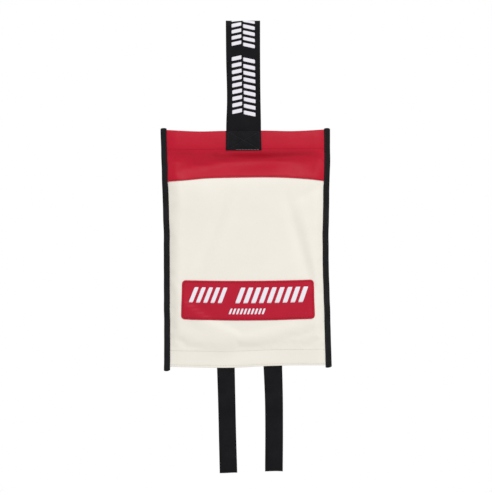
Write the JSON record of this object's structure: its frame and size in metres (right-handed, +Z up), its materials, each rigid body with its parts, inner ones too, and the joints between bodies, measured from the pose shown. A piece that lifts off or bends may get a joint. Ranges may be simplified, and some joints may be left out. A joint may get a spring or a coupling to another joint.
{
  "type": "fire blanket",
  "caption": "Folded glass-fibre fire blanket in a soft hanging pouch, with a webbing hanging loop and pull straps at its closed lower mouth.",
  "frame": {"origin": "inner top of the hanging loop, on its centre line, where a hook or rod carries the weight", "axes": "+Z up along the hanging strap, +X to the right of someone facing the front, +Y towards the wall behind the pouch"},
  "size_m": [0.1966, 0.0196, 0.5251],
  "materials": {
    "black_webbing": "woven polyester webbing",
    "black_binding": "grosgrain binding tape",
    "red_leathercloth": "coated leathercloth, satin",
    "ivory_cloth": "smooth coated cloth",
    "glass_cloth": "woven glass fibre",
    "closure_tape": "hook and loop tape",
    "black_thread": "sewing thread",
    "red_thread": "sewing thread",
    "ivory_thread": "sewing thread"
  },
  "bodies": {
    "hang_loop": {"hang_strap": "black_webbing"},
    "pouch": {"front_panel": "ivory_cloth", "front_mouth_flap": "ivory_cloth", "back_panel": "ivory_cloth", "back_mouth_flap": "ivory_cloth", "header_band": "red_leathercloth", "hang_strap_front_end": "black_webbing", "hang_strap_back_end": "black_webbing", "front_end_box_stitch": "black_thread", "back_end_box_stitch": "black_thread", "header_seam_front": "red_thread", "header_seam_back": "red_thread", "band_lower_seam": "red_thread", "front_mouth_upper_seam": "ivory_thread", "front_mouth_lower_seam": "ivory_thread", "back_mouth_upper_seam": "ivory_thread", "back_mouth_lower_seam": "ivory_thread", "left_edge_binding": "black_binding", "right_edge_binding": "black_binding", "left_binding_seam": "black_thread", "right_binding_seam": "black_thread", "label_patch": "red_leathercloth", "label_seam": "red_thread", "closure_loop_tape": "closure_tape", "closure_hook_tape": "closure_tape"},
    "blanket": {"folded_blanket": "glass_cloth", "pull_strap_left_root": "black_webbing", "pull_strap_right_root": "black_webbing", "left_root_stitch": "black_thread", "right_root_stitch": "black_thread"},
    "left_pull_strap": {"pull_strap_left": "black_webbing"},
    "right_pull_strap": {"pull_strap_right": "black_webbing"}
  },
  "joints": [
    {"name": "pouch_swing", "type": "hinge", "parent": "hang_loop", "child": "pouch", "pos_m": [0, 0, -0.1235], "axis": [1, 0, 0], "range_deg": [-90, 90]},
    {"name": "blanket_slide", "type": "slide", "parent": "pouch", "child": "blanket", "axis": [0, 0, -1], "range_m": [0, 0.26], "deforming": ["front_mouth_flap", "back_mouth_flap", "closure_loop_tape", "closure_hook_tape", "front_mouth_upper_seam", "front_mouth_lower_seam", "back_mouth_upper_seam", "back_mouth_lower_seam"]},
    {"name": "left_strap_swing", "type": "hinge", "parent": "blanket", "child": "left_pull_strap", "pos_m": [-0.02725, 0, -0.4042], "axis": [1, 0, 0], "range_deg": [-80, 80]},
    {"name": "right_strap_swing", "type": "hinge", "parent": "blanket", "child": "right_pull_strap", "pos_m": [0.02725, 0, -0.4042], "axis": [1, 0, 0], "range_deg": [-80, 80]}
  ]
}
